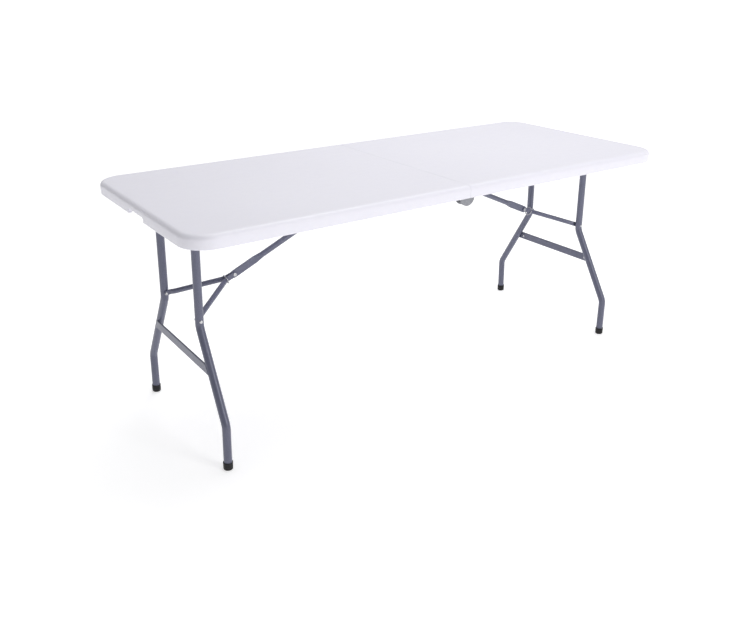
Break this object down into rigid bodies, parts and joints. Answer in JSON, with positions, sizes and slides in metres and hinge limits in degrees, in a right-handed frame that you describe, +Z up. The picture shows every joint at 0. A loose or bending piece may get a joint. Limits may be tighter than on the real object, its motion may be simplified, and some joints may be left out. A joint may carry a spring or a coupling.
{
  "type": "folding table",
  "caption": "Long folding table: moulded plastic top in two halves that fold together, tubular leg frames that swing in, folding Y braces with lock rings, and a carrying handle.",
  "frame": {"origin": "on the floor under the centre of the open table", "axes": "+X along the length towards the right half, +Y across towards the carrying handle, +Z up"},
  "size_m": [1.8, 0.74, 0.74],
  "materials": {
    "tabletop_plastic": "white high-density polyethylene, fine pebble on top, satin on the rim",
    "frame_paint": "blue-grey powder coat, satin",
    "hinge_zinc": "zinc-plated pressed steel, dull",
    "bright_steel": "bright plated steel wire and rivet heads",
    "foot_plastic": "black rubbery foot cap",
    "handle_plastic": "black moulded plastic"
  },
  "bodies": {
    "left_half": {"left_panel": "tabletop_plastic", "left_rail_front": "frame_paint", "left_rail_rear": "frame_paint", "left_hinge_bracket_front": "hinge_zinc", "left_hinge_bracket_rear": "hinge_zinc", "left_cross_rod": "frame_paint", "left_rod_clips": "hinge_zinc", "left_screws": "hinge_zinc", "hinge_pin_front": "hinge_zinc", "hinge_pin_rear": "hinge_zinc", "handle_pins": "hinge_zinc"},
    "left_legs": {"left_pivot_tube": "frame_paint", "left_leg_front": "frame_paint", "left_leg_rear": "frame_paint", "left_crossbar": "frame_paint", "left_foot_front": "foot_plastic", "left_foot_rear": "foot_plastic", "left_leg_rivets": "bright_steel", "left_crossbar_rivets": "bright_steel"},
    "left_stem_link": {"left_stem": "frame_paint", "left_knee_rivet": "bright_steel"},
    "left_arms": {"left_arm_front": "frame_paint", "left_arm_rear": "frame_paint", "left_arm_rivet_heads": "bright_steel"},
    "left_ring": {"left_lock_ring": "bright_steel"},
    "right_half": {"right_panel": "tabletop_plastic", "right_rail_front": "frame_paint", "right_rail_rear": "frame_paint", "right_hinge_bracket_front": "hinge_zinc", "right_hinge_bracket_rear": "hinge_zinc", "right_cross_rod": "frame_paint", "right_rod_clips": "hinge_zinc", "right_screws": "hinge_zinc"},
    "right_legs": {"right_pivot_tube": "frame_paint", "right_leg_front": "frame_paint", "right_leg_rear": "frame_paint", "right_crossbar": "frame_paint", "right_foot_front": "foot_plastic", "right_foot_rear": "foot_plastic", "right_leg_rivets": "bright_steel", "right_crossbar_rivets": "bright_steel"},
    "right_stem_link": {"right_stem": "frame_paint", "right_knee_rivet": "bright_steel"},
    "right_arms": {"right_arm_front": "frame_paint", "right_arm_rear": "frame_paint", "right_arm_rivet_heads": "bright_steel"},
    "right_ring": {"right_lock_ring": "bright_steel"},
    "handle": {"handle_grip": "handle_plastic"}
  },
  "joints": [
    {"name": "centre_fold", "type": "hinge", "parent": "left_half", "child": "right_half", "pos_m": [0, 0, 0.7017], "axis": [0, 1, 0], "range_deg": [0, 90]},
    {"name": "left_leg_fold", "type": "hinge", "parent": "left_half", "child": "left_legs", "pos_m": [-0.787, 0, 0.717], "axis": [0, -1, 0], "range_deg": [0, 92]},
    {"name": "left_brace_swing", "type": "hinge", "parent": "left_half", "child": "left_stem_link", "pos_m": [-0.058, 0, 0.724], "axis": [0, 1, 0], "range_deg": [0, 22.9]},
    {"name": "left_knee_fold", "type": "hinge", "parent": "left_stem_link", "child": "left_arms", "pos_m": [-0.62023, 0, 0.47685], "axis": [0, -1, 0], "range_deg": [0, 184.5]},
    {"name": "left_ring_slide", "type": "slide", "parent": "left_stem_link", "child": "left_ring", "axis": [0.9154, 0, 0.4024], "range_m": [0, 0.2402]},
    {"name": "right_leg_fold", "type": "hinge", "parent": "right_half", "child": "right_legs", "pos_m": [0.787, 0, 0.717], "axis": [0, 1, 0], "range_deg": [0, 92]},
    {"name": "right_brace_swing", "type": "hinge", "parent": "right_half", "child": "right_stem_link", "pos_m": [0.058, 0, 0.724], "axis": [0, -1, 0], "range_deg": [0, 22.9]},
    {"name": "right_knee_fold", "type": "hinge", "parent": "right_stem_link", "child": "right_arms", "pos_m": [0.62023, 0, 0.47685], "axis": [0, 1, 0], "range_deg": [0, 184.5]},
    {"name": "right_ring_slide", "type": "slide", "parent": "right_stem_link", "child": "right_ring", "axis": [-0.9154, 0, 0.4024], "range_m": [0, 0.2402]},
    {"name": "handle_swing", "type": "hinge", "parent": "left_half", "child": "handle", "pos_m": [-0.44, 0.3645, 0.708], "axis": [1, 0, 0], "range_deg": [0, 90]}
  ],
  "couplings": [
    {"joint": "left_brace_swing", "follows": "left_leg_fold", "ratio": 0.24771},
    {"joint": "left_knee_fold", "follows": "left_leg_fold", "ratio": 2.0029},
    {"joint": "left_ring_slide", "follows": "left_leg_fold", "m_per_rad": 0.14947},
    {"joint": "right_brace_swing", "follows": "right_leg_fold", "ratio": 0.24771},
    {"joint": "right_knee_fold", "follows": "right_leg_fold", "ratio": 2.0029},
    {"joint": "right_ring_slide", "follows": "right_leg_fold", "m_per_rad": 0.14947}
  ]
}
